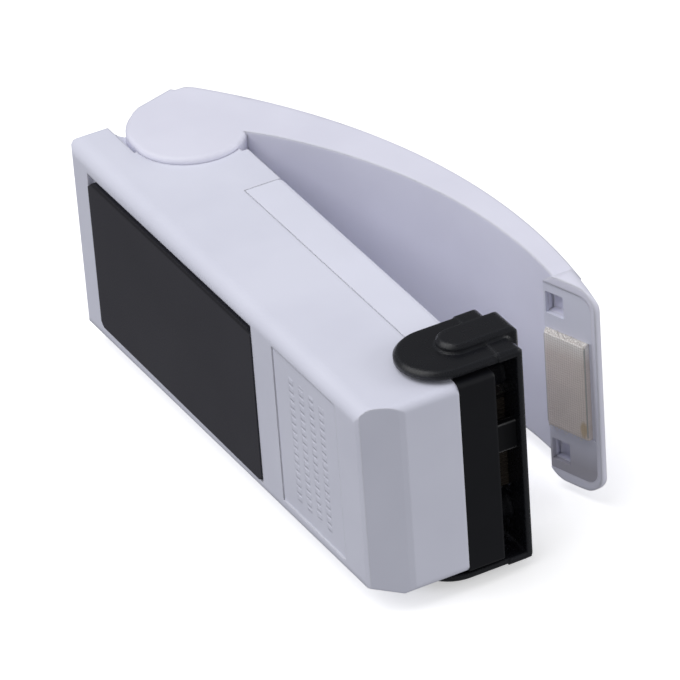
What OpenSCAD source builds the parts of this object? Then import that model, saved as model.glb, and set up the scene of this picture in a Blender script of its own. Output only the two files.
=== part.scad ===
// Handheld bag heat sealer, lying on its side: X toward the nose, Y toward the lever, Z across its width.
// The magnet sheet's outer face is y = 0.

/* [Body] */
// Half width of the body at its rear end
rear_hw = 17.65; // [15.5:0.05:20]
// Half width of the body at its nose
nose_hw = 16.6; // [15.5:0.05:20]
// Rear end of the body
body_x0 = -33.6; // [-40:0.1:-30]
// Nose face
body_x1 = 62.7; // [58:0.1:70]
// Body face around the magnet sheet
body_y0 = 0.2; // [0:0.05:1]
// Top of the nose shell, under the head block
rim_y = 15.9; // [14:0.1:18]
// Deck behind the battery door
deck_y = 22.3; // [20:0.1:24]
// Rounding of the long edges beside the magnet sheet
body_round = 2.6; // [1:0.1:5]
// Wall thickness
wall = 1.8; // [1.2:0.1:3]

/* [Hinge and lever] */
// Hinge axis, x
hinge_x = -23.4; // [-28:0.1:-18]
// Hinge axis, y
hinge_y = 16.8; // [12:0.1:20]
// Radius of the round cheek over the hinge
cheek_r = 9.25; // [8:0.05:12]
// Half width of the lever at the hinge
lever_hw = 18.4; // [16:0.1:20]
// Half width of the arm where it meets its head
arm_hw = 16.5; // [14:0.1:19]
// Radius of the arm's back
back_r = 110.3; // [80:0.1:150]
// Radius of the arm's inner face
belly_r = 85.6; // [60:0.1:120]
// Slope of the sealing pad, lever open
pad_slope = 18.5; // [10:0.1:30]
// Half width of the lever's head
head_hw = 18.3; // [17:0.1:20]

/* [Head guard] */
// Centre of the guard along the body
guard_x = 55.1; // [50:0.1:60]
// Length of the guard along the body
guard_len = 13.5; // [10:0.1:18]
// Outer face of the guard plate
guard_y = 27.7; // [25:0.1:30]
// Outer face of the guard's raised band
guard_face = 29.0; // [27:0.1:32]
// Guard wall thickness
guard_t = 1.3; // [0.8:0.1:2]
// Press travel of the guard
guard_travel = 1.6; // [1:0.1:4]

/* [Batteries] */
// Cell diameter
cell_d = 14.5; // [14:0.1:15]
// Cell length with its nub
cell_len = 50.5; // [49:0.1:51]

/* [Hidden] */
$fn = 48;
eps = 0.01;
back_c = [30.9, -63.0];
belly_c = [36.5, -42.4];
pad_c = [50.15, 41.6];
cell_y = 10.8;
cell_z = 7.45;
tip_y = guard_face - 1.8;
guard_x0 = guard_x - guard_len / 2;
guard_x1 = guard_x + guard_len / 2;
cheek_in = 17.5;
cheek_out = cheek_in + guard_t;
band_hw = cheek_out + 1.15;
tongue_y = 16.8;
taper = atan((rear_hw - nose_hw) / (body_x1 - body_x0));
boss_y = 19.35;

white = [0.86, 0.87, 0.92];
white2 = [0.80, 0.81, 0.86];
black = [0.10, 0.10, 0.11];
steel = [0.72, 0.72, 0.74];
brass = [0.80, 0.65, 0.32];

// ---------- helpers ----------
// a box by its low and high corners
module bx(a, b) translate(a) cube([b[0] - a[0], b[1] - a[1], b[2] - a[2]]);

// a rectangle with round corners, made of exact arcs
module rrect(a, b, r) {
    translate([a[0] + r, a[1]]) square([b[0] - a[0] - 2 * r, b[1] - a[1]]);
    translate([a[0], a[1] + r]) square([b[0] - a[0], b[1] - a[1] - 2 * r]);
    for (x = [a[0] + r, b[0] - r], y = [a[1] + r, b[1] - r]) translate([x, y]) circle(r);
}

// a plan outline, h0 wide at x0 and h1 wide at x1, with round corners
module plan(x0, x1, h0, h1, r) {
    polygon([[x0 + r, -h0], [x1 - r, -h1], [x1 - r, h1], [x0 + r, h0]]);
    translate([x0, r - h0]) square([2 * r, 2 * h0 - 2 * r]);
    translate([x1 - 2 * r, r - h1]) square([2 * r, 2 * h1 - 2 * r]);
    for (k = [-1, 1]) {
        translate([x0 + r, k * (h0 - r)]) circle(r);
        translate([x1 - r, k * (h1 - r)]) circle(r);
    }
}

// extrude an XY outline symmetrically in z
module along_z(h) translate([0, 0, -h]) linear_extrude(2 * h) children();

// extrude an outline drawn as (x, z) along y
module along_y(y0, y1) translate([0, y1, 0]) rotate([90, 0, 0]) linear_extrude(y1 - y0) children();

// extrude an outline drawn as (y, z) along x
module along_x(x0, x1) translate([x0, 0, 0]) rotate([90, 0, 90]) linear_extrude(x1 - x0) children();

// a rod from one point to another
module rod(a, b, r) {
    d = b - a;
    l = norm(d);
    translate(a) rotate([0, acos(d[2] / l), atan2(d[1], d[0])]) cylinder(r = r, h = l, $fn = 24);
    for (p = [a, b]) translate(p) sphere(r * 1.04, $fn = 24);
}

// a coil about the local z axis
module coil(rm, rw, h, turns, seg = 10, taper = 0) {
    n = turns * seg;
    for (i = [0 : n - 1]) hull() for (k = [i, i + 1])
        rotate([0, 0, 360 * k / seg])
            translate([rm - taper * k / n, 0, rw + (h - 2 * rw) * k / n])
                rotate([90, 0, 0]) cylinder(r = rw, h = 0.02, $fn = 6, center = true);
}

// both sides of the device
module both() {
    children();
    mirror([0, 0, 1]) children();
}

// a block that narrows toward the nose, h wide at its rear end, with round edges at y0 and y1
module tapered(h, y0, y1, r) intersection() {
    translate([body_x0, 0, 0]) rotate([0, taper, 0]) along_x(-5, 110)
        rrect([y0, -2 * h], [y1, h], r);
    translate([body_x0, 0, 0]) rotate([0, -taper, 0]) along_x(-5, 110)
        rrect([y0, -h], [y1, 2 * h], r);
}

// ---------- body ----------
module body_side() {
    polygon([[body_x0, 1.6], [body_x0 + 0.4, 0.6], [body_x0 + 1.4, body_y0], [59.3, body_y0],
        [60.1, 0.55], [62.45, 5.9], [body_x1, 6.8], [body_x1, rim_y], [-3.5, rim_y],
        [-3.5, deck_y], [-14.2, deck_y], [-14.2, 21.3], [-24, 21.3], [-31.9, 14.5],
        [-31.9, 9.4], [-32.9, 8.7], [body_x0, 8.7]]);
    translate([hinge_x, hinge_y]) circle(8.5, $fn = 96);
}

module body_outer() difference() {
    intersection() {
        along_z(30) body_side();
        tapered(rear_hw, body_y0, 60, body_round);
        along_y(-1, 40) plan(body_x0, body_x1, rear_hw, nose_hw, 1.4);
    }
    // sloped lower end of the nose's chamfer
    mirror([0, 0, 1]) translate([60.1, 0.55, 14.9]) rotate([0, 29.7, -54.4])
        translate([-10, -10, 0]) cube([20, 20, 10]);
}

// room for the lever's round cheeks
module cheek_recess() both() translate([0, 0, 15.4]) linear_extrude(5) {
    translate([hinge_x, hinge_y]) circle(cheek_r + 0.15, $fn = 96);
    translate([-40, 6.95]) square([40 + hinge_x, 30]);
}

module nose_room() along_z(15.0) polygon([[51.8, 2.0], [57.6, 2.0], [60.9, 6.8], [60.9, 17],
    [51.8, 17]]);

module body_shell() color(white) difference() {
    union() {
        difference() {
            body_outer();
            cheek_recess();
            // battery bay, open under the door
            bx([-8.2, 2.6, -15.2], [49.6, 20.4, 15.2]);
            bx([-3.6, 15, -15.2], [49.6, 30, 15.2]);
            // hinge room
            intersection() {
                bx([-31.8, 2.0, -13.4], [-10.0, 30, 13.4]);
                union() {
                    translate([hinge_x, hinge_y, -20]) cylinder(r = 7.3, h = 40);
                    bx([-31.8, 2.0, -20], [-10.0, 19.4, 20]);
                }
            }
            nose_room();
            // shallow label panel between the magnet sheet and the nose
            bx([33.8, -1, -13.6], [53.2, body_y0 + 0.2, 14.0]);
        }
        // ribs under the switch contacts
        bx([57.7, 5.0, -4.9], [61.5, 9.7, -2.0]);
        bx([57.7, 5.0, 6.0], [61.5, 8.7, 8.9]);
    }
    // seat of the magnet sheet
    bx([-27.25, -1, -14.15], [27.25, 1.15, 14.15]);
    // bearing of the hinge pin
    translate([hinge_x, hinge_y, -20]) cylinder(r = 1.55, h = 40);
    // slot for the spring's upper leg
    bx([-22, 18.0, -4.6], [-9.9, 30, 4.6]);
    // wire passages into the nose
    both() bx([49, 3.4, 9.4], [52.5, 6.6, 12.6]);
}

module battery_tray() color(white2) difference() {
    union() {
        bx([-8.1, 2.65, -15.1], [49.5, 3.45, 15.1]);
        bx([-8.1, 3.4, -15.1], [-7.05, 15.6, 15.1]);
        bx([48.5, 3.4, -15.1], [49.5, 15.6, 15.1]);
    }
    both() bx([48, 3.45, 9.4], [50, 6.6, 12.6]);
    for (x = [4, 22, 40]) translate([x, 0, 0]) bx([-5, 2, -10], [5, 5, -3]);
    for (x = [4, 22, 40]) translate([x, 0, 0]) bx([-5, 2, 3], [5, 5, 10]);
}

module battery_door() color(white) {
    difference() {
        intersection() {
            along_z(30) polygon([[-3.4, 16.0], [48.1, 16.0], [48.1, 22.6], [47.6, 23.1], [-2.9, 23.1],
                [-3.4, 22.6]]);
            tapered(rear_hw, -20, 23.1, 1.6);
        }
        intersection() {
            bx([-1.8, 10, -20], [46.5, 21.5, 20]);
            tapered(rear_hw - 1.6, -20, 21.5, 0.8);
        }
        // room for the cells' ends
        bx([-4, 15, -15.1], [-1, 18.3, 15.1]);
    }
    // hooks under the head block
    bx([46.6, 16.9, -10], [50.2, 18.1, -5]);
    bx([46.6, 16.9, 5], [50.2, 18.1, 10]);
    // stiffening ribs
    for (x = [10, 22, 34]) bx([x - 0.5, 20.0, -15.3], [x + 0.5, 21.6, 15.3]);
}

module magnet_sheet() color([0.16, 0.16, 0.18]) along_y(0, 1.1)
    polygon([[-27.1, -13.2], [-26.3, -14.0], [26.3, -14.0], [27.1, -13.2], [27.1, 12.55],
        [26.3, 13.35], [-25.3, 13.35], [-27.1, 11.95]]);

// ---------- head ----------
module head_block() color(black) difference() {
    union() {
        intersection() {
            bx([48.5, rim_y + 0.05, -20], [body_x1, 22.0, 20]);
            along_y(10, 30) plan(body_x0, body_x1, rear_hw, nose_hw, 0.7);
        }
        bx([51.95, 11.2, -14.85], [60.75, 17, 14.85]);
        both() translate([guard_x, boss_y, 16]) cylinder(r = 1.6, h = 2.75);
    }
    // heater slot
    bx([53.2, 5, -8.45], [57.0, 30, 8.45]);
    // wells of the guard springs
    both() translate([guard_x, 12.3, 12.0]) rotate([-90, 0, 0]) cylinder(r = 2.75, h = 20);
    // slot of the switch plunger
    bx([58.85, 5, 0.5], [60.35, 30, 5.7]);
    // pilot holes for the lug screws
    both() translate([59.0, 5, 9.2]) rotate([-90, 0, 0]) cylinder(r = 0.82, h = 10);
    // slots for the door hooks
    both() bx([48, 16.7, 4.6], [50.6, 18.5, 10.4]);
    // lug seats and wire room behind them
    both() bx([51, 10, 10.6], [53.0, 12.2, 15]);
}

// a bar along y, r to each side of the guard's centre, h to each side of z = 0, its edges chamfered
module guard_bar(r, h, y0, y1) along_y(y0, y1)
    polygon([[guard_x - r, 0.5 - h], [guard_x - r + 0.5, -h], [guard_x + r - 0.5, -h],
        [guard_x + r, 0.5 - h], [guard_x + r, h - 0.5], [guard_x + r - 0.5, h],
        [guard_x - r + 0.5, h], [guard_x - r, h - 0.5]]);

// a disc end on the guard's outer face, chamfered like the bar
module guard_end(r, h, y, z0) both() translate([guard_x, y, z0]) {
    cylinder(r = r, h = h - z0 - 0.5, $fn = 96);
    translate([0, 0, h - z0 - 0.5]) cylinder(r1 = r, r2 = r - 0.5, h = 0.5, $fn = 96);
}

// the cap: the plate and the upper part of the cheeks, long edges rounded
module guard_cap() intersection() {
    guard_bar(guard_len / 2, cheek_out, 23.3, guard_y);
    along_x(guard_x0 - 1, guard_x1 + 1) rrect([10, -cheek_out], [guard_y, cheek_out], 1.6);
    along_z(cheek_out + 1) rrect([guard_x0, 10], [guard_x1, guard_y], 1.2);
}

// the raised band that wraps the plate and runs down both cheeks
module guard_band() {
    intersection() {
        guard_bar(2.9, band_hw, 19.8, guard_face);
        along_x(guard_x0, guard_x1) rrect([10, -band_hw], [guard_face, band_hw], 1.6);
        along_z(band_hw + 1) polygon([[guard_x - 2.9, 19], [guard_x + 2.9, 19],
            [guard_x + 2.9, guard_face - 0.5], [guard_x + 2.4, guard_face],
            [guard_x - 2.4, guard_face], [guard_x - 2.9, guard_face - 0.5]]);
    }
    guard_end(2.9, band_hw, 19.8, 18.0);
}

module guard() color(black) difference() {
    union() {
        difference() {
            union() {
                guard_bar(guard_len / 2 - 0.15, cheek_out - 0.15, tongue_y, 23.6);
                guard_end(guard_len / 2 - 0.15, cheek_out - 0.15, tongue_y, 17.0);
                guard_cap();
                guard_band();
            }
            bx([guard_x0 - 1, 0, -cheek_in], [guard_x1 + 1, guard_y - guard_t, cheek_in]);
        }
        // spring sleeves
        both() translate([guard_x, 18.2, 12.0]) rotate([-90, 0, 0])
            cylinder(r = 2.55, h = guard_y - 19.1);
    }
    // pocket that holds the switch plunger
    bx([59.0, 20, 0.7], [60.2, guard_y - 0.5, 5.5]);
    // groove on the cheek for the head block's boss
    both() translate([0, 0, 17.4]) linear_extrude(1.5) {
        translate([guard_x, 19.4]) circle(1.75);
        translate([guard_x - 1.75, 19.4]) square([3.5, guard_travel + 0.3]);
        translate([guard_x, 19.7 + guard_travel]) circle(1.75);
    }
    both() translate([guard_x, 17, 12.0]) rotate([-90, 0, 0])
        cylinder(r = 2.05, h = guard_y - guard_t - 17);
    // window over the heater
    bx([53.0, 20, -8.7], [57.2, 30, 8.7]);
}

module switch_plunger() color([0.22, 0.22, 0.23]) {
    bx([59.0, 11.6, 0.7], [60.2, guard_y - 0.5, 5.5]);
    bx([59.2, 11.0, 1.3], [60.0, 11.7, 4.9]);
}

module guard_springs() color(steel) both() translate([guard_x, 12.35, 12.0])
    rotate([-90, 0, 0]) coil(1.65, 0.24, guard_y - guard_t - 12.4, 5, 8);

module heater_post() color([0.62, 0.45, 0.30]) difference() {
    union() {
        bx([53.5, 11.2, -7.85], [56.7, tip_y - 0.75, 7.85]);
        along_z(7.85) polygon([[53.5, tip_y - 0.8], [56.7, tip_y - 0.8], [56.7, tip_y - 0.45],
            [56.3, tip_y], [53.9, tip_y], [53.5, tip_y - 0.45]]);
    }
    bx([54.4, 10, -5], [55.8, 13.5, 5]);
}

module heater_strip() color([0.66, 0.64, 0.60]) difference() {
    union() {
        bx([54.0, tip_y, -8.15], [56.2, tip_y + 0.2, 8.15]);
        both() bx([54.0, 10.95, 7.95], [56.2, tip_y + 0.1, 8.15]);
        both() bx([54.0, 10.95, 7.95], [60.2, 11.15, 10.4]);
    }
    both() translate([59.0, 5, 9.2]) rotate([-90, 0, 0]) cylinder(r = 0.9, h = 10);
}

module heater_tape() color([0.72, 0.62, 0.48]) difference() {
    bx([53.28, 22.3, -7.7], [56.92, tip_y + 0.36, 7.7]);
    bx([53.45, 20, -8], [56.75, tip_y + 0.21, 8]);
}

module heater_lugs() color(brass) both() difference() {
    union() {
        bx([54.5, 10.5, 7.95], [60.3, 10.9, 10.6]);
        bx([52.6, 10.5, 9.4], [55.0, 10.9, 10.6]);
    }
    translate([59.0, 5, 9.2]) rotate([-90, 0, 0]) cylinder(r = 0.9, h = 10);
}

module lug_screws() color(steel) both() translate([59.0, 0, 9.2]) rotate([-90, 0, 0]) difference() {
    union() {
        translate([0, 0, 9.35]) cylinder(r = 1.45, h = 1.1);
        translate([0, 0, 10.4]) cylinder(r = 0.78, h = 4.2);
    }
    translate([-1.1, -0.2, 9]) cube([2.2, 0.4, 0.75]);
    translate([-0.2, -1.1, 9]) cube([0.4, 2.2, 0.75]);
}

module switch_leaf() color(brass) difference() {
    union() {
        bx([58.0, 9.72, -5.0], [60.8, 9.98, 5.0]);
        bx([58.0, 7.5, -5.25], [60.8, 9.98, -4.95]);
    }
    translate([59.4, 5, -3.5]) rotate([-90, 0, 0]) cylinder(r = 0.5, h = 10);
}

module switch_contact() color(brass) {
    bx([58.0, 8.72, 1.0], [60.8, 8.98, 9.0]);
    bx([58.0, 6.5, 8.95], [60.8, 8.98, 9.25]);
    translate([59.4, 8.9, 3]) rotate([-90, 0, 0]) cylinder(r = 0.7, h = 0.4);
}

// ---------- batteries ----------
module cell() rotate([0, 90, 0]) {
    translate([0, 0, 0.3]) cylinder(r = cell_d / 2, h = cell_len - 1.5 - 0.7);
    cylinder(r = cell_d / 2 - 0.8, h = cell_len - 1.7);
    cylinder(r = 2.7, h = cell_len);
}

module cell_a() color([0.25, 0.42, 0.55]) translate([-2.6, cell_y, cell_z]) cell();

module cell_b() color([0.25, 0.42, 0.55]) translate([45.2, cell_y, -cell_z]) mirror([1, 0, 0]) cell();

module battery_bridge() color(steel) {
    bx([-7.0, 5.5, -13.0], [-6.6, 16.0, 13.0]);
    translate([-6.7, cell_y, -cell_z]) rotate([0, 90, 0]) cylinder(r = 3.0, h = 1.38);
    translate([-6.75, cell_y, cell_z]) rotate([0, 90, 0]) coil(4.4, 0.35, 4.12, 3, 10, 2.0);
}

module contact_positive() color(steel) {
    bx([47.95, 5.5, 2.6], [48.4, 16.0, 12.4]);
    bx([47.95, 4.3, 10.2], [48.4, 6.0, 11.8]);
}

module contact_negative() color(steel) {
    bx([47.95, 5.5, -12.4], [48.4, 16.0, -2.6]);
    bx([47.95, 4.3, -11.8], [48.4, 6.0, -10.2]);
    translate([48.1, cell_y, -cell_z]) rotate([0, -90, 0]) coil(4.4, 0.35, 2.86, 2, 10, 2.0);
}

// ---------- hinge ----------
module hinge_pin() color(steel) translate([hinge_x, hinge_y, -17.0]) cylinder(r = 1.5, h = 34);

module torsion_spring() color(steel) {
    translate([hinge_x, hinge_y, 0]) {
        for (i = [-3 : 3]) translate([0, 0, i * 0.85])
            rotate_extrude() translate([3.1, 0]) circle(0.46, $fn = 16);
    }
    rod([hinge_x - 3.1, hinge_y, -2.55], [-29.0, 3.0, -2.55], 0.45);
    rod([hinge_x + 1.6, hinge_y + 2.7, 2.55], [-12.9, 26.8, 2.55], 0.45);
}

// ---------- lever ----------
module lever_side() {
    polygon([[-29.5, 9.6], [-31.6, 10.3], [-33.3, 11.8], [-34.4, 13.4], [-36.6, 20.2],
        [-35.95, 20.9], [-35.95, 22.3], [-34.7, 25.3], [-33, 26.5], [-20, 32], [-18.5, 25], [-23.4, 16.8]]);
    intersection() {
        difference() {
            translate(back_c) circle(back_r, $fn = 360);
            translate(belly_c) circle(belly_r, $fn = 360);
        }
        translate([-34.7, 22]) square([82, 30]);
    }
}

// a round bar about the centre of the arm's back
module back_bar(r) translate([back_c[0], back_c[1], -40]) cylinder(r = r, h = 80, $fn = 360);

// a round bar about the centre of the arm's inner face
module belly_bar(r) translate([belly_c[0], belly_c[1], -40]) cylinder(r = r, h = 80, $fn = 360);

// the arm with its long outer edges rounded
module lever_outer() intersection() {
    along_z(lever_hw) lever_side();
    translate([back_c[0], back_c[1], 0]) rotate_extrude($fn = 360)
        rrect([40, -lever_hw], [back_r, lever_hw], 2);
    along_y(0, 60) polygon([[-40, -lever_hw], [-14, -lever_hw], [46, -arm_hw], [60, -arm_hw],
        [60, arm_hw], [46, arm_hw], [-14, lever_hw], [-40, lever_hw]]);
}

module in_pad() translate([pad_c[0], pad_c[1], 0]) rotate([0, 0, pad_slope]) children();

// head of the lever: a shallow tray, its corners and back edges rounded
module lever_head() difference() {
    intersection() {
        along_z(head_hw) intersection() {
            polygon([[44.6, 38], [54.6, 38], [54.6, 44.9], [54.0, 45.5], [50.2, 45.6], [44.6, 46.4]]);
            translate(pad_c) rotate(pad_slope) translate([-20, 0.8]) square([40, 20]);
        }
        along_y(30, 60) rrect([44.3, -head_hw], [54.6, head_hw], 3.6);
        translate([back_c[0], back_c[1], 0]) rotate_extrude($fn = 360)
            rrect([40, -head_hw], [back_r + 0.1, head_hw], 3.2);
    }
    in_pad() along_y(-5, 1.7) rrect([-9, -16.7], [4.1, 16.7], 2.4);
}

// a round disc across the lever, its edges softened
module soft_disc(x, y, r) translate([x, y, 0]) rotate_extrude($fn = 96) {
    translate([0, -lever_hw]) square([r - 0.8, 2 * lever_hw]);
    translate([0, 0.8 - lever_hw]) square([r, 2 * lever_hw - 1.6]);
    for (k = [-1, 1]) translate([r - 0.8, k * (lever_hw - 0.8)]) circle(0.8);
}

// round cheeks over the hinge and the fuller round of the lever's rear end
module cheeks() {
    difference() {
        soft_disc(hinge_x, hinge_y, cheek_r);
        bx([hinge_x - 1, 0, -15.55], [0, 60, 15.55]);
    }
    intersection() {
        soft_disc(-25.2, 18.2, 10.6);
        bx([-50, 0, -20], [hinge_x, 60, 20]);
    }
}

// the hollow of the arm, open at the back where the cover sits
module arm_hollow() difference() {
    along_y(0, 70) polygon([[-20.9, -16.0], [-14, -16.0], [43.3, -14.65], [43.3, 14.65],
        [-14, 16.0], [-20.9, 16.0]]);
    belly_bar(belly_r + 1.6);
    translate([hinge_x, hinge_y, -40]) cylinder(r = 10.55, h = 80, $fn = 96);
}

// along the cover screws' axes, measured out from the arm's inner face
module at_screws(d) both() translate([belly_c[0], belly_c[1], 5.2]) rotate([0, 0, 124.1])
    translate([belly_r + d, 0, 0]) rotate([0, 90, 0]) children();

module lever_shell() color(white) difference() {
    union() {
        difference() {
            union() {
                lever_outer();
                cheeks();
            }
            arm_hollow();
            // room for the body's hinge drum
            translate([hinge_x, hinge_y, -15.55]) cylinder(r = 8.95, h = 31.1, $fn = 96);
            intersection() {
                back_bar(back_r - 1.8);
                along_z(15.55) polygon([[-32.4, 5], [-32.5, 13], [-34.6, 20], [-34.0, 22],
                    [-33.6, 40], [hinge_x, 40], [hinge_x, 5]]);
            }
        }
        lever_head();
    }
    // two deep pockets at the rear of the tray
    in_pad() both() bx([-4.9, 1, 11.3], [-1.4, 3.0, 15.1]);
    // clearance holes and seats of the cover screws
    at_screws(-2) cylinder(r = 1.0, h = 4);
    at_screws(-2) cylinder(r = 1.8, h = 2.8);
    // blind seats of the hinge pin
    translate([hinge_x, hinge_y, -17.05]) cylinder(r = 1.51, h = 34.1);
}

module lever_cover() color(white2) difference() {
    union() {
        intersection() {
            difference() {
                back_bar(back_r);
                back_bar(back_r - 1.6);
            }
            along_y(20, 60) polygon([[-20.8, -15.93], [-14, -15.93], [43.2, -14.58], [43.2, 14.58],
                [-14, 15.93], [-20.8, 15.93]]);
        }
        // bosses for the screws
        intersection() {
            at_screws(1.65) cylinder(r = 2.4, h = 12);
            back_bar(back_r - 0.5);
        }
    }
    at_screws(0) cylinder(r = 0.92, h = 6.2);
}

module cover_screws() color(steel) at_screws(-0.3) difference() {
    union() {
        cylinder(r = 1.7, h = 1.05);
        translate([0, 0, 1]) cylinder(r = 0.88, h = 4.6);
    }
    translate([-1.2, -0.2, -1]) cube([2.4, 0.4, 1.5]);
    translate([-0.2, -1.2, -1]) cube([0.4, 2.4, 1.5]);
}

module pad_holder() color(white) in_pad() difference() {
    intersection() {
        along_y(0.95, 1.66) rrect([-9, -16.68], [4.08, 16.68], 2.38);
        bx([-5.3, 0, -20], [5, 3, 20]);
    }
    both() bx([-4.9, 0, 11.3], [-1.4, 3, 15.1]);
    // seat of the pad
    bx([-7, 0, -8.7], [5, 1.26, 8.7]);
}

module silicone_pad() color([0.70, 0.70, 0.68]) in_pad() intersection() {
    bx([-4.95, 0.2, -8.4], [3.05, 1.25, 8.4]);
    along_x(-6, 5) rrect([0.2, -8.4], [6, 8.4], 0.8);
}

module pad_cloth() color([0.76, 0.70, 0.62]) in_pad() difference() {
    intersection() {
        bx([-5.0, 0, -8.6], [3.1, 1.25, 8.6]);
        along_x(-6, 5) rrect([0, -8.6], [6, 8.6], 1.0);
    }
    intersection() {
        bx([-6, 0.19, -8.41], [5, 3, 8.41]);
        along_x(-7, 6) rrect([0.19, -8.41], [8, 8.41], 0.81);
    }
}

// ---------- wires ----------
module wire_positive() color([0.70, 0.12, 0.10]) {
    rod([48.95, 5.0, 11.0], [53.6, 5.0, 11.0], 0.5);
    rod([53.6, 5.0, 11.0], [53.6, 9.9, 10.2], 0.5);
}

module wire_negative() color([0.12, 0.12, 0.12]) {
    rod([48.95, 5.0, -11.0], [54.0, 5.0, -11.0], 0.5);
    rod([54.0, 5.0, -11.0], [58.8, 7.9, -5.85], 0.5);
}

module wire_switch() color([0.85, 0.85, 0.85]) {
    rod([59.4, 7.4, 9.85], [56.6, 6.0, 9.9], 0.5);
    rod([56.6, 6.0, 9.9], [55.4, 5.0, 0], 0.5);
    rod([55.4, 5.0, 0], [54.6, 6.5, -8.0], 0.5);
    rod([54.6, 6.5, -8.0], [53.6, 9.9, -10.2], 0.5);
}

body_shell();
battery_tray();
battery_door();
magnet_sheet();
head_block();
guard();
switch_plunger();
guard_springs();
heater_post();
heater_strip();
heater_tape();
heater_lugs();
lug_screws();
switch_leaf();
switch_contact();
cell_a();
cell_b();
battery_bridge();
contact_positive();
contact_negative();
hinge_pin();
torsion_spring();
lever_shell();
lever_cover();
cover_screws();
pad_holder();
silicone_pad();
pad_cloth();
wire_positive();
wire_negative();
wire_switch();
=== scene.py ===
# Looks for the handheld bag heat sealer: materials for every CAD node, and the soft and sprung pieces.
# Row frame, metres: X toward the nose, Y toward the lever, Z across the width.
import math

import bmesh
import bpy
from mathutils import Matrix, Vector


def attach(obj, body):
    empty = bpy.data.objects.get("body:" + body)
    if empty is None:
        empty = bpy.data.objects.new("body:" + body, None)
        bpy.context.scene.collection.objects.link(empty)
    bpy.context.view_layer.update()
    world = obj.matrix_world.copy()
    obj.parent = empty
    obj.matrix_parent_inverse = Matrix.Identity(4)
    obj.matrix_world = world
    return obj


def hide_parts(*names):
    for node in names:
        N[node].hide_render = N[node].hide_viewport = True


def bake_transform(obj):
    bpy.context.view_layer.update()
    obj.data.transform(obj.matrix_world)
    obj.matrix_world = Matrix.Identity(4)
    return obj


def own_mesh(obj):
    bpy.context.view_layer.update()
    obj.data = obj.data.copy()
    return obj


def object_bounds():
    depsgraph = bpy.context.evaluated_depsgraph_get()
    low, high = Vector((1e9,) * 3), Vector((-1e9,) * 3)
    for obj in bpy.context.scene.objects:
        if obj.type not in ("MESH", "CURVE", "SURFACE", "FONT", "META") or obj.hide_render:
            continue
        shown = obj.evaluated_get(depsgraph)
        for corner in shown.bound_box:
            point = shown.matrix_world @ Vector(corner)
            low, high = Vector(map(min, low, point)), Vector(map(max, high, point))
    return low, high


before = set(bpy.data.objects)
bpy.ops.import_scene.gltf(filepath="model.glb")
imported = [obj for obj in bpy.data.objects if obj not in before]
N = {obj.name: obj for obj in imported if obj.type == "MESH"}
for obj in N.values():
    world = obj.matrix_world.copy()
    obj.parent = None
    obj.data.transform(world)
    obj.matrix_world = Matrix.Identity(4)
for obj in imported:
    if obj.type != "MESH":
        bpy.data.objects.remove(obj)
cad_lo, cad_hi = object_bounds()
scene = bpy.context.scene
MM = 0.001

# places and sizes that follow the CAD's
HINGE = Vector((-0.0234, 0.0168, 0))
PAD = Vector((0.05015, 0.0416, 0))
PAD_SLOPE = math.radians(18.5)
GUARD_X = 0.0551
GUARD_SPRING_Z = 0.012


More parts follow.
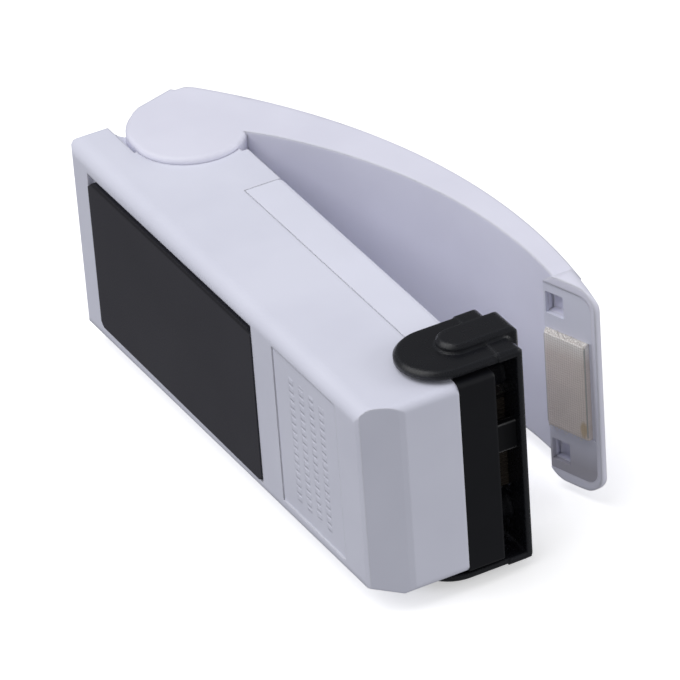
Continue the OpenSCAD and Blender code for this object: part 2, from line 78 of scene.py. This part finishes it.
# ---------- node helpers ----------
class Shader:
    """A short way to write a node tree."""

    def __init__(self, name):
        self.mat = bpy.data.materials.new(name)
        self.mat.use_nodes = True
        self.t = self.mat.node_tree
        self.bsdf = self.t.nodes["Principled BSDF"]

    def node(self, kind, **values):
        n = self.t.nodes.new(kind)
        for k, v in values.items():
            setattr(n, k, v)
        return n

    def link(self, a, b):
        self.t.links.new(a, b)

    def set(self, **values):
        for k, v in values.items():
            self.bsdf.inputs[k.replace("_", " ")].default_value = v

    def feed(self, **sources):
        """Link what feeds the material's inputs, such as Base_Color."""
        for k, source in sources.items():
            self.link(source, self.bsdf.inputs[k.replace("_", " ")])

    def fed(self, name):
        """What feeds one of the material's inputs now."""
        return self.bsdf.inputs[name].links[0].from_socket

    def coords(self):
        return self.node("ShaderNodeTexCoord").outputs["Object"]

    def axes(self, vec):
        """The X, Y and Z outputs of a position."""
        n = self.node("ShaderNodeSeparateXYZ")
        self.link(vec, n.inputs[0])
        return n.outputs

    def noise(self, vec, scale, detail=2.0, rough=0.5):
        n = self.node("ShaderNodeTexNoise")
        n.inputs["Scale"].default_value = scale
        n.inputs["Detail"].default_value = detail
        n.inputs["Roughness"].default_value = rough
        self.link(vec, n.inputs["Vector"])
        return n.outputs["Fac"]

    def math(self, op, a, b=None):
        n = self.node("ShaderNodeMath", operation=op)
        for i, v in enumerate((a, b)):
            if v is None:
                continue
            if isinstance(v, (int, float)):
                n.inputs[i].default_value = v
            else:
                self.link(v, n.inputs[i])
        return n.outputs[0]

    def span(self, v, a, b, lo=0.0, hi=1.0):
        """Map a to b onto lo to hi, clamped."""
        n = self.node("ShaderNodeMapRange")
        self.link(v, n.inputs["Value"])
        for k, x in (("From Min", a), ("From Max", b), ("To Min", lo), ("To Max", hi)):
            n.inputs[k].default_value = x
        return n.outputs["Result"]

    def near(self, value, centre, reach, fade):
        """1 within reach of a centre, falling to 0 over fade."""
        d = self.math("ABSOLUTE", self.math("SUBTRACT", value, centre))
        return self.span(d, reach - fade, reach, 1.0, 0.0)

    def mix(self, fac, a, b):
        n = self.node("ShaderNodeMix", data_type="RGBA")
        for sock, v in ((n.inputs[0], fac), (n.inputs[6], a), (n.inputs[7], b)):
            if isinstance(v, (int, float)):
                sock.default_value = v
            elif isinstance(v, tuple):
                sock.default_value = (*v, 1.0)
            else:
                self.link(v, sock)
        return n.outputs[2]

    def soft_edges(self, radius):
        n = self.node("ShaderNodeBevel", samples=4)
        n.inputs["Radius"].default_value = radius
        return n.outputs["Normal"]

    def bump(self, height, strength, distance, normal=None):
        n = self.node("ShaderNodeBump")
        n.inputs["Strength"].default_value = strength
        n.inputs["Distance"].default_value = distance
        self.link(height, n.inputs["Height"])
        if normal is not None:
            self.link(normal, n.inputs["Normal"])
        return n.outputs["Normal"]

    def edge_mask(self, normal, lo=0.004, hi=0.12):
        """1 on a rounded edge, 0 on flats."""
        g = self.node("ShaderNodeNewGeometry")
        d = self.node("ShaderNodeVectorMath", operation="DOT_PRODUCT")
        self.link(normal, d.inputs[0])
        self.link(g.outputs["Normal"], d.inputs[1])
        return self.span(self.math("SUBTRACT", 1.0, d.outputs["Value"]), lo, hi)


def darker(colour, share):
    return tuple(share * c for c in colour)


# ---------- materials ----------
def moulded(name, base, tint, rough, edge=0.00045, grain=0.06, edge_wear_and_highlight=(1, 1, 1), edge_wear_and_highlight_amount=0.25, specular=0.5):
    """Injection-moulded plastic: faint mottling, a fine spark-eroded grain and softened, slightly rubbed edges; on
    the black head the lighter edge tone is partly a painted highlight.
    """
    s = Shader(name)
    v = s.coords()
    mottle = s.noise(v, 55, 3.0)
    fine = s.noise(v, 5200, 2.0, 0.6)
    mid = s.noise(v, 650)
    edges = s.soft_edges(edge)
    col = s.mix(s.span(mottle, 0.35, 0.68), base, tint)
    col = s.mix(s.math("MULTIPLY", s.edge_mask(edges), edge_wear_and_highlight_amount), col, edge_wear_and_highlight)
    height = s.math("ADD", s.math("MULTIPLY", fine, 0.5), s.math("MULTIPLY", mid, 0.5))
    s.feed(
        Base_Color=col,
        Roughness=s.math("ADD", s.span(mid, 0.3, 0.7, -0.04, 0.04), rough),
        Normal=s.bump(height, grain, 0.00012, edges),
    )
    s.set(IOR=1.5, Specular_IOR_Level=specular)
    return s


def metal(name, base, rough, scale=(1, 1, 1)):
    """Drawn or plated metal with fine streaks."""
    s = Shader(name)
    v = s.coords()
    m = s.node("ShaderNodeMapping")
    m.inputs["Scale"].default_value = scale
    s.link(v, m.inputs["Vector"])
    streaks = s.noise(m.outputs["Vector"], 900.0, 3.0)
    dull = s.noise(v, 300)
    s.feed(
        Base_Color=s.mix(s.span(dull, 0.35, 0.7), base, darker(base, 0.72)),
        Roughness=s.math("ADD", s.span(streaks, 0.3, 0.7, -0.07, 0.07), rough),
        Normal=s.bump(streaks, 0.12, 0.00004, s.soft_edges(0.00012)),
    )
    s.set(Metallic=1.0)
    return s


def insulation(name, base):
    """A wire's soft plastic."""
    return moulded(name, base, darker(base, 0.8), 0.45, edge=0.0001)


def shell_panel():
    """The body's moulded white, with rows of plain raised dashes in the shallow panel near the nose."""
    row_pitch, dash_pitch, first_row, row_shift = 0.0031, 0.0014, 0.0375, 0.37
    s = moulded("shell_white_panel", WHITE, WHITE_B, 0.40)
    at = s.axes(s.coords())
    row = s.math("MULTIPLY", s.math("SUBTRACT", at["X"], first_row), 1 / row_pitch)
    shift = s.math("MULTIPLY", s.math("FLOOR", row), row_shift)
    dash = s.math("ADD", s.math("MULTIPLY", at["Z"], 1 / dash_pitch), shift)
    height = s.math(
        "MULTIPLY",
        s.near(s.math("FRACT", row), 0.5, 0.27, 0.12),
        s.near(s.math("FRACT", dash), 0.5, 0.40, 0.12),
    )
    # only inside the panel: axis, centre, reach, fade
    for axis, centre, reach, fade in (
        ("X", 0.0437, 0.0063, 0.0003),
        ("Z", 0.0, 0.0112, 0.0004),
        ("Y", 0.0, 0.002, 0.001),
    ):
        height = s.math("MULTIPLY", height, s.near(at[axis], centre, reach, fade))
    s.feed(Normal=s.bump(height, 0.9, 0.00014, s.fed("Normal")))
    return s


def shaded_holder():
    """The pad holder's white, with shade painted in toward its lower end, where the tray lies in shade."""
    s = moulded("holder_white", WHITE, WHITE_B, 0.45, edge=0.00005, edge_wear_and_highlight_amount=0.0)
    # painted shade: the holder's colour darkens toward its lower end
    painted_shade_share = s.span(s.axes(s.coords())["Z"], -0.0145, -0.0085, 0.75, 0.0)
    s.feed(Base_Color=s.mix(painted_shade_share, s.fed("Base Color"), (0.36, 0.34, 0.38)))
    return s


def magnet_rubber():
    """A dark calendered rubber with a very fine grain. Its upper edge is painted near-black, as painted shade for
    the groove under the body's rim.
    """
    s = Shader("magnet_rubber")
    v = s.coords()
    mottle = s.noise(v, 40, 3.0)
    fine = s.noise(v, 4200, 3.0, 0.65)
    edges = s.soft_edges(0.0002)
    col = s.mix(s.span(mottle, 0.35, 0.7), (0.034, 0.033, 0.043), (0.041, 0.040, 0.051))
    col = s.mix(s.math("MULTIPLY", s.edge_mask(edges), 0.12), col, (0.10, 0.10, 0.11))
    # painted shade: near-black along the upper edge, where it lies in the groove under the body's rim
    painted_groove_shade = s.span(s.axes(v)["Z"], 0.01255, 0.0128)
    s.feed(
        Base_Color=s.mix(painted_groove_shade, col, (0.011, 0.011, 0.017)),
        Roughness=s.span(fine, 0.3, 0.7, 0.44, 0.58),
        Normal=s.bump(fine, 0.22, 0.00006, edges),
    )
    return s


def laminate():
    """Brown phenolic laminate with fine layers."""
    s = Shader("phenolic")
    layers = s.node("ShaderNodeTexWave", wave_type="BANDS", bands_direction="X")
    layers.inputs["Scale"].default_value = 900
    layers.inputs["Distortion"].default_value = 1.5
    s.link(s.coords(), layers.inputs["Vector"])
    s.feed(
        Base_Color=s.mix(layers.outputs["Fac"], (0.020, 0.016, 0.014), (0.014, 0.011, 0.010)),
        Normal=s.bump(layers.outputs["Fac"], 0.1, 0.00005, s.soft_edges(0.0002)),
    )
    s.set(Roughness=0.5)
    return s


def cell_jacket():
    """A plain metallic film with a band in another colour at each end."""
    middle_x, half_plain = 0.0215, 0.0195
    s = Shader("cell_jacket")
    v = s.coords()
    fine = s.noise(v, 1500)
    from_middle = s.math("ABSOLUTE", s.math("SUBTRACT", s.axes(v)["X"], middle_x))
    band = s.math("GREATER_THAN", from_middle, half_plain)
    s.feed(
        Base_Color=s.mix(band, (0.10, 0.23, 0.34), (0.55, 0.50, 0.36)),
        Roughness=s.span(fine, 0.3, 0.7, 0.24, 0.34),
        Normal=s.bump(fine, 0.06, 0.00004, s.soft_edges(0.0002)),
    )
    s.set(Metallic=0.75)
    return s


def weave(name, base, dark, pitch, stain=None, painted_highlight_end=None):
    """Plain-woven glass yarn under a thin PTFE film, threads along the local X and Z axes.

    stain is ((x, z, x radius, z radius), colour). painted_highlight_end is (z where it starts, z where it is full,
    colour), a painted highlight on the thread tops toward the top end.
    """
    s = Shader(name)
    v = s.coords()
    at = s.axes(v)
    turns_per_metre = math.pi / pitch
    wobble = s.span(s.noise(v, 500), 0.3, 0.7, -0.00005, 0.00005)
    x = s.math("MULTIPLY", s.math("ADD", at["X"], wobble), turns_per_metre)
    z = s.math("MULTIPLY", s.math("ADD", at["Z"], wobble), turns_per_metre)
    # warp and weft take turns on top: a checker of the two sines, with each yarn's own round back
    warp = s.math("ABSOLUTE", s.math("SINE", x))
    weft = s.math("ABSOLUTE", s.math("SINE", z))
    over = s.math("MULTIPLY", s.math("SINE", x), s.math("SINE", z))
    pick = s.node("ShaderNodeMix", data_type="FLOAT")
    for i, source in ((0, s.span(over, -0.15, 0.15)), (2, warp), (3, weft)):
        s.link(source, pick.inputs[i])
    height = pick.outputs[0]
    mottle = s.noise(v, 260, 3.0)
    col = s.mix(s.span(height, 0.1, 0.75), dark, base)
    col = s.mix(s.span(mottle, 0.42, 0.75, 0.0, 0.35), col, darker(base, 0.8))
    if stain:
        (stain_x, stain_z, radius_x, radius_z), tone = stain
        dx = s.math("DIVIDE", s.math("SUBTRACT", at["X"], stain_x), radius_x)
        dz = s.math("DIVIDE", s.math("SUBTRACT", at["Z"], stain_z), radius_z)
        d = s.math("ADD", s.math("MULTIPLY", dx, dx), s.math("MULTIPLY", dz, dz))
        d = s.math("ADD", d, s.span(mottle, 0.3, 0.7, -0.35, 0.35))
        col = s.mix(s.span(d, 0.25, 1.1, 0.7, 0.0), col, tone)
    if painted_highlight_end:
        # painted highlight: the thread tops lighten toward the cloth's top end
        z_from, z_full, tone = painted_highlight_end
        share = s.math("MULTIPLY", s.span(at["Z"], z_from, z_full), s.span(height, 0.0, 0.8))
        col = s.mix(share, col, tone)
    s.feed(
        Base_Color=col,
        Normal=s.bump(height, 0.7, 0.00011),
        Roughness=s.span(mottle, 0.3, 0.7, 0.36, 0.50),
    )
    s.set(IOR=1.38, Sheen_Weight=0.15)
    return s


WHITE, WHITE_B = (0.76, 0.77, 0.885), (0.715, 0.725, 0.84)
LEVER_WHITE, LEVER_WHITE_B = (0.81, 0.81, 0.93), (0.765, 0.765, 0.885)
BLACK, BLACK_B = (0.0105, 0.0110, 0.0140), (0.0085, 0.0090, 0.0115)

# The black head's lighter edges are partly rubbed wear and partly a painted highlight.
head_black = moulded(
    "head_black", BLACK, BLACK_B, 0.26,
    edge=0.0008, grain=0.05, edge_wear_and_highlight=(0.07, 0.074, 0.085), edge_wear_and_highlight_amount=0.3, specular=0.4,
)
block_black = moulded(
    "block_black", BLACK, BLACK_B, 0.42,
    edge=0.0005, grain=0.12, edge_wear_and_highlight=(0.04, 0.042, 0.047), edge_wear_and_highlight_amount=0.2, specular=0.25,
)
lever_white = moulded("lever_white", LEVER_WHITE, LEVER_WHITE_B, 0.42, edge=0.0007)
spring_dark = metal("spring_dark", (0.05, 0.05, 0.052), 0.5)
steel = metal("spring_steel", (0.62, 0.62, 0.64), 0.28)
nickel = metal("nickel_plate", (0.70, 0.69, 0.66), 0.24)
zinc = metal("zinc_screw", (0.66, 0.67, 0.69), 0.32)
brass = metal("brass_sheet", (0.80, 0.58, 0.25), 0.30)
jacket = cell_jacket()
along_z = (1, 1, 0.05)

LOOKS = {
    "body_shell": shell_panel(),
    "battery_tray": moulded("tray_white", (0.66, 0.66, 0.72), (0.62, 0.62, 0.68), 0.55),
    "battery_door": moulded("door_white", (0.79, 0.80, 0.92), WHITE, 0.40, edge=0.0003),
    "lever_shell": lever_white,
    "lever_cover": lever_white,
    "pad_holder": shaded_holder(),
    "magnet_sheet": magnet_rubber(),
    "head_block": block_black,
    "guard": head_black,
    # The plunger's colour is darkened to near-black: painted shade for its place in the dark slot.
    "switch_plunger": moulded("plunger_shade_darkened", (0.012, 0.012, 0.014), (0.010, 0.010, 0.012), 0.5, specular=0.2),
    "guard_springs": spring_dark,
    "torsion_spring": steel,
    "heater_post": laminate(),
    "heater_strip": metal("ribbon_alloy", (0.50, 0.47, 0.43), 0.42, scale=along_z),
    # The tape's tan is darkened to dark brown: painted shade for its place in the slot.
    "heater_tape": weave("ptfe_tape", (0.05, 0.038, 0.026), (0.03, 0.022, 0.015), 0.00036),
    "heater_lugs": brass,
    "switch_leaf": brass,
    "switch_contact": brass,
    "lug_screws": zinc,
    "cover_screws": zinc,
    "battery_bridge": nickel,
    "contact_positive": nickel,
    "contact_negative": nickel,
    "hinge_pin": metal("pin_steel", (0.58, 0.58, 0.60), 0.30, scale=along_z),
    "cell_a": jacket,
    "cell_b": jacket,
    "silicone_pad": moulded("silicone", (0.42, 0.42, 0.41), (0.38, 0.38, 0.37), 0.6, edge=0.0003),
    "wire_positive": insulation("wire_red", (0.45, 0.02, 0.02)),
    "wire_negative": insulation("wire_black", (0.02, 0.02, 0.022)),
    "wire_switch": insulation("wire_white", (0.7, 0.7, 0.7)),
}
for node, look in LOOKS.items():
    N[node].data.materials.clear()
    N[node].data.materials.append(look.mat)


# ---------- mesh helpers ----------
def add(name, data, look=None):
    """A new object in the scene, in one material."""
    o = bpy.data.objects.new(name, data)
    scene.collection.objects.link(o)
    if look:
        data.materials.clear()
        data.materials.append(look.mat)
    return o


def wires(name, lines, radius, look, resolution, caps=False):
    """Round wires along lists of points, as one mesh."""
    cu = bpy.data.curves.new(name, "CURVE")
    cu.dimensions = "3D"
    cu.bevel_depth = radius
    cu.bevel_resolution = resolution
    cu.use_fill_caps = caps
    for line in lines:
        sp = cu.splines.new("POLY")
        sp.points.add(len(line) - 1)
        for p, q in zip(sp.points, line):
            p.co = (*q, 1.0)
    curve = add(name + "_curve", cu)
    me = bpy.data.meshes.new_from_object(curve.evaluated_get(bpy.context.evaluated_depsgraph_get()))
    bpy.data.objects.remove(curve)
    return add(name, me, look)


def smooth(o):
    for p in o.data.polygons:
        p.use_smooth = True


# ---------- pad cloth: one sheet over the silicone pad, its edges turned down and tucked in ----------
pad_frame = Matrix.Translation(PAD) @ Matrix.Rotation(PAD_SLOPE, 4, "Z")


def wrapped(t, a, b, r, drop):
    """A point at arc position t, 0 to 1, along a strap that lies on [a, b] and turns down at both ends."""
    quarter = r * math.pi / 2
    parts = [drop - r, quarter, (b - r) - (a + r), quarter, drop - r]
    d = t * sum(parts)
    if d < parts[0]:
        return a, drop - d
    d -= parts[0]
    if d < parts[1]:
        g = d / r
        return a + r - r * math.cos(g), r - r * math.sin(g)
    d -= parts[1]
    if d < parts[2]:
        return a + r + d, 0.0
    d -= parts[2]
    if d < parts[3]:
        g = d / r
        return b - r + r * math.sin(g), r - r * math.cos(g)
    d -= parts[3]
    return b, r + d


def pad_cloth():
    nu, nz = 46, 84
    u0, u1, z0, z1 = -5.0 * MM, 3.1 * MM, -8.6 * MM, 8.6 * MM
    radius, drop = 0.6 * MM, 1.235 * MM
    verts, faces = [], []
    for i in range(nu + 1):
        u, du = wrapped(i / nu, u0, u1, radius, drop)
        for j in range(nz + 1):
            z, dz = wrapped(j / nz, z0, z1, radius, drop)
            v = max(du, dz) if min(du, dz) == 0 else min(drop, math.hypot(du, dz))
            # faint waves on the flat, none down the sides
            wave = 0.035 * MM * math.sin(u * 1500 + 1.0) * math.sin(z * 700)
            verts.append((u, v + 0.02 * MM + abs(wave) * (1 if v < 0.3 * MM else 0), z))
    for i in range(nu):
        for j in range(nz):
            a = i * (nz + 1) + j
            faces.append((a, a + 1, a + nz + 2, a + nz + 1))
    me = bpy.data.meshes.new("pad_cloth_woven")
    me.from_pydata(verts, [], faces)
    me.update()
    look = weave(
        "ptfe_cloth",
        (0.80, 0.72, 0.68),
        (0.55, 0.475, 0.44),
        0.00042,
        stain=((0.0024, -0.0066, 0.0007, 0.0016), (0.50, 0.36, 0.18)),
        # a painted highlight on the thread tops at the top end
        painted_highlight_end=(0.0052, 0.0078, (0.95, 0.92, 0.89)),
    )
    o = add("pad_cloth_woven", me, look)
    smooth(o)
    o.matrix_world = pad_frame
    return o


cloth = pad_cloth()
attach(cloth, "lever")
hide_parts("pad_cloth")


def yarn_ends():
    """Short yarn ends that have worked loose along the cloth's cut edges."""
    lines = []
    for i in range(64):
        end = 1 if i % 4 else -1
        a, b, c = math.sin(12.9 * i), math.sin(7.3 * i + 1.0), math.sin(4.1 * i + 2.0)
        u = (-4.7 + 7.4 * ((i * 0.618) % 1.0)) * MM
        reach = (0.30 + 0.26 * abs(a)) * MM
        line = []
        for f in (0, 1 / 3, 2 / 3, 1):
            v = (0.16 + 0.24 * (i % 3) + 0.10 * b * f) * MM
            line.append((u + 0.30 * MM * c * f * f, v, end * (8.48 * MM + reach * f)))
        lines.append(line)
    look = moulded("loose_yarn", (0.80, 0.77, 0.74), (0.70, 0.66, 0.62), 0.5, edge=0.00001)
    o = wires("cloth_yarn_ends", lines, 0.00004, look, resolution=1)
    o.matrix_world = pad_frame
    return o


yarn = yarn_ends()
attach(yarn, "lever")


# ---------- springs ----------
half = 0.0026  # half the torsion spring's wound length


def lever_spring():
    """A wound torsion spring, its lower leg on the body's floor and its upper leg under the lever's cover."""
    turns, coil_r, steps = 6.0, 0.0031, 240
    start, end = math.radians(180), math.radians(180 + 360 * turns - 120)
    pts = [(-0.0290, 0.0031, -half), (-0.0275, 0.0066, -half)]
    for i in range(steps + 1):
        g = start + (end - start) * i / steps
        z = -half + 2 * half * i / steps
        pts.append((HINGE.x + coil_r * math.cos(g), HINGE.y + coil_r * math.sin(g), z))
    pts += [(-0.0160, 0.0242, half), (-0.0129, 0.0266, half)]
    o = wires("lever_spring_wound", [pts], 0.00045, steel, resolution=4, caps=True)
    smooth(o)
    return o


wound = lever_spring()
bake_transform(wound)
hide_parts("torsion_spring")


def guard_spring(k, z):
    """A wound compression spring under the guard, with closer turns at both ends."""
    turns, coil_r, height, steps = 9, 0.00165, 13.7, 200
    closed, closer = 0.08, 0.75
    pts = []
    for i in range(steps + 1):
        f = i / steps
        t = turns * 2 * math.pi * f
        if f <= closed:
            rise = f * closer
        elif f < 1 - closed:
            rise = f
        else:
            rise = 1 - (1 - f) * closer
        pts.append((GUARD_X + coil_r * math.cos(t), 0.0125 + height * rise * MM, z + coil_r * math.sin(t)))
    o = wires(f"guard_spring_{k}", [pts], 0.00022, spring_dark, resolution=4, caps=True)
    smooth(o)
    return o


for k, side in enumerate((-1, 1)):
    c = guard_spring(k, side * GUARD_SPRING_Z)
    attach(c, "body")
    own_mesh(c)
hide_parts("guard_springs")


def bent_leaf():
    """The moving leaf of the switch: the same strip and tab as the CAD, in mm, pressed down with the guard."""
    strip = ((58.0, 9.72, -5.0), (60.8, 9.98, 5.0))
    tab = ((58.0, 7.5, -5.25), (60.8, 9.98, -4.95))
    bm = bmesh.new()
    for lo, hi in (strip, tab):
        size = [(b - a) * MM for a, b in zip(lo, hi)]
        mid = [(a + b) / 2 * MM for a, b in zip(lo, hi)]
        bmesh.ops.create_cube(bm, size=1.0, matrix=Matrix.Translation(mid) @ Matrix.Diagonal((*size, 1.0)))
    me = bpy.data.meshes.new("switch_leaf_bent")
    bm.to_mesh(me)
    bm.free()
    return add("switch_leaf_bent", me, brass)


leaf = bent_leaf()
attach(leaf, "body")
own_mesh(leaf)
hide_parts("switch_leaf")


# ---------- stage, light, camera ----------
def pale_floor():
    """A pale floor just under the part, which gives no light back to it."""
    look = Shader("floor_pale")
    look.set(Base_Color=(0.93, 0.93, 0.94, 1), Roughness=0.9, Emission_Color=(1, 1, 1, 1), Emission_Strength=0.45)
    me = bpy.data.meshes.new("floor")
    me.from_pydata([(-3, -3, 0), (3, -3, 0), (3, 3, 0), (-3, 3, 0)], [], [(0, 1, 2, 3)])
    o = add("floor", me, look)
    o.location = (0, 0, cad_lo.z - 0.1 * MM)
    o.visible_diffuse = False
    o.visible_glossy = False
    return o


pale_floor()


def studio(diffuse, glossy):
    """An even world, dimmer in reflections than in the diffuse light, so the blacks stay deep."""
    world = bpy.data.worlds.new("studio")
    world.use_nodes = True
    t = world.node_tree
    sky = t.nodes["Background"].inputs
    sky["Color"].default_value = (0.96, 0.97, 1.0, 1)
    path = t.nodes.new("ShaderNodeLightPath")
    level = t.nodes.new("ShaderNodeMapRange")
    level.inputs["To Min"].default_value = diffuse
    level.inputs["To Max"].default_value = glossy
    t.links.new(path.outputs["Is Glossy Ray"], level.inputs["Value"])
    t.links.new(level.outputs["Result"], sky["Strength"])
    return world


scene.world = studio(diffuse=0.375, glossy=0.17)


def softbox(name, at, look_at, size, power):
    li = bpy.data.lights.new(name, "AREA")
    li.shape = "RECTANGLE"
    li.size, li.size_y = size
    li.energy = power
    o = add(name, li)
    o.location = at
    o.rotation_mode = "QUATERNION"
    o.rotation_quaternion = (Vector(look_at) - Vector(at)).to_track_quat("-Z", "Y")


softbox("key", (-0.12, -0.40, 0.76), (0.015, 0.015, 0), (0.9, 0.9), 5.7)
softbox("fill", (-0.45, -0.60, 0.15), (0.015, 0.01, 0), (0.5, 0.5), 0.12)
softbox("side_right", (0.42, 0.75, 0.20), (0.015, 0.01, 0), (0.5, 0.4), 2.9)
softbox("front", (0.55, -0.30, 0.25), (0.015, 0.01, 0), (0.5, 0.5), 0.10)


def camera(at, azimuth, elevation, roll, lens):
    """A camera that looks back along a direction given in degrees, turned by roll about it."""
    data = bpy.data.cameras.new("camera")
    data.sensor_width = 36
    data.lens = lens
    data.clip_start, data.clip_end = 0.05, 10
    az, el, turn = (math.radians(a) for a in (azimuth, elevation, roll))
    back = Vector((math.sin(az) * math.cos(el), -math.cos(az) * math.cos(el), math.sin(el)))
    side = Vector((math.cos(az), math.sin(az), 0))
    up = back.cross(side)
    right = side * math.cos(turn) + up * math.sin(turn)
    up = up * math.cos(turn) - side * math.sin(turn)
    o = add("camera", data)
    rows = [(right[i], up[i], back[i], at[i]) for i in range(3)]
    o.matrix_world = Matrix((*rows, (0, 0, 0, 1)))
    return o


scene.camera = camera((0.6333, -0.2903, 0.4363), azimuth=63.26, elevation=32.36, roll=-4.283, lens=280.6)
scene.view_settings.view_transform = "Standard"
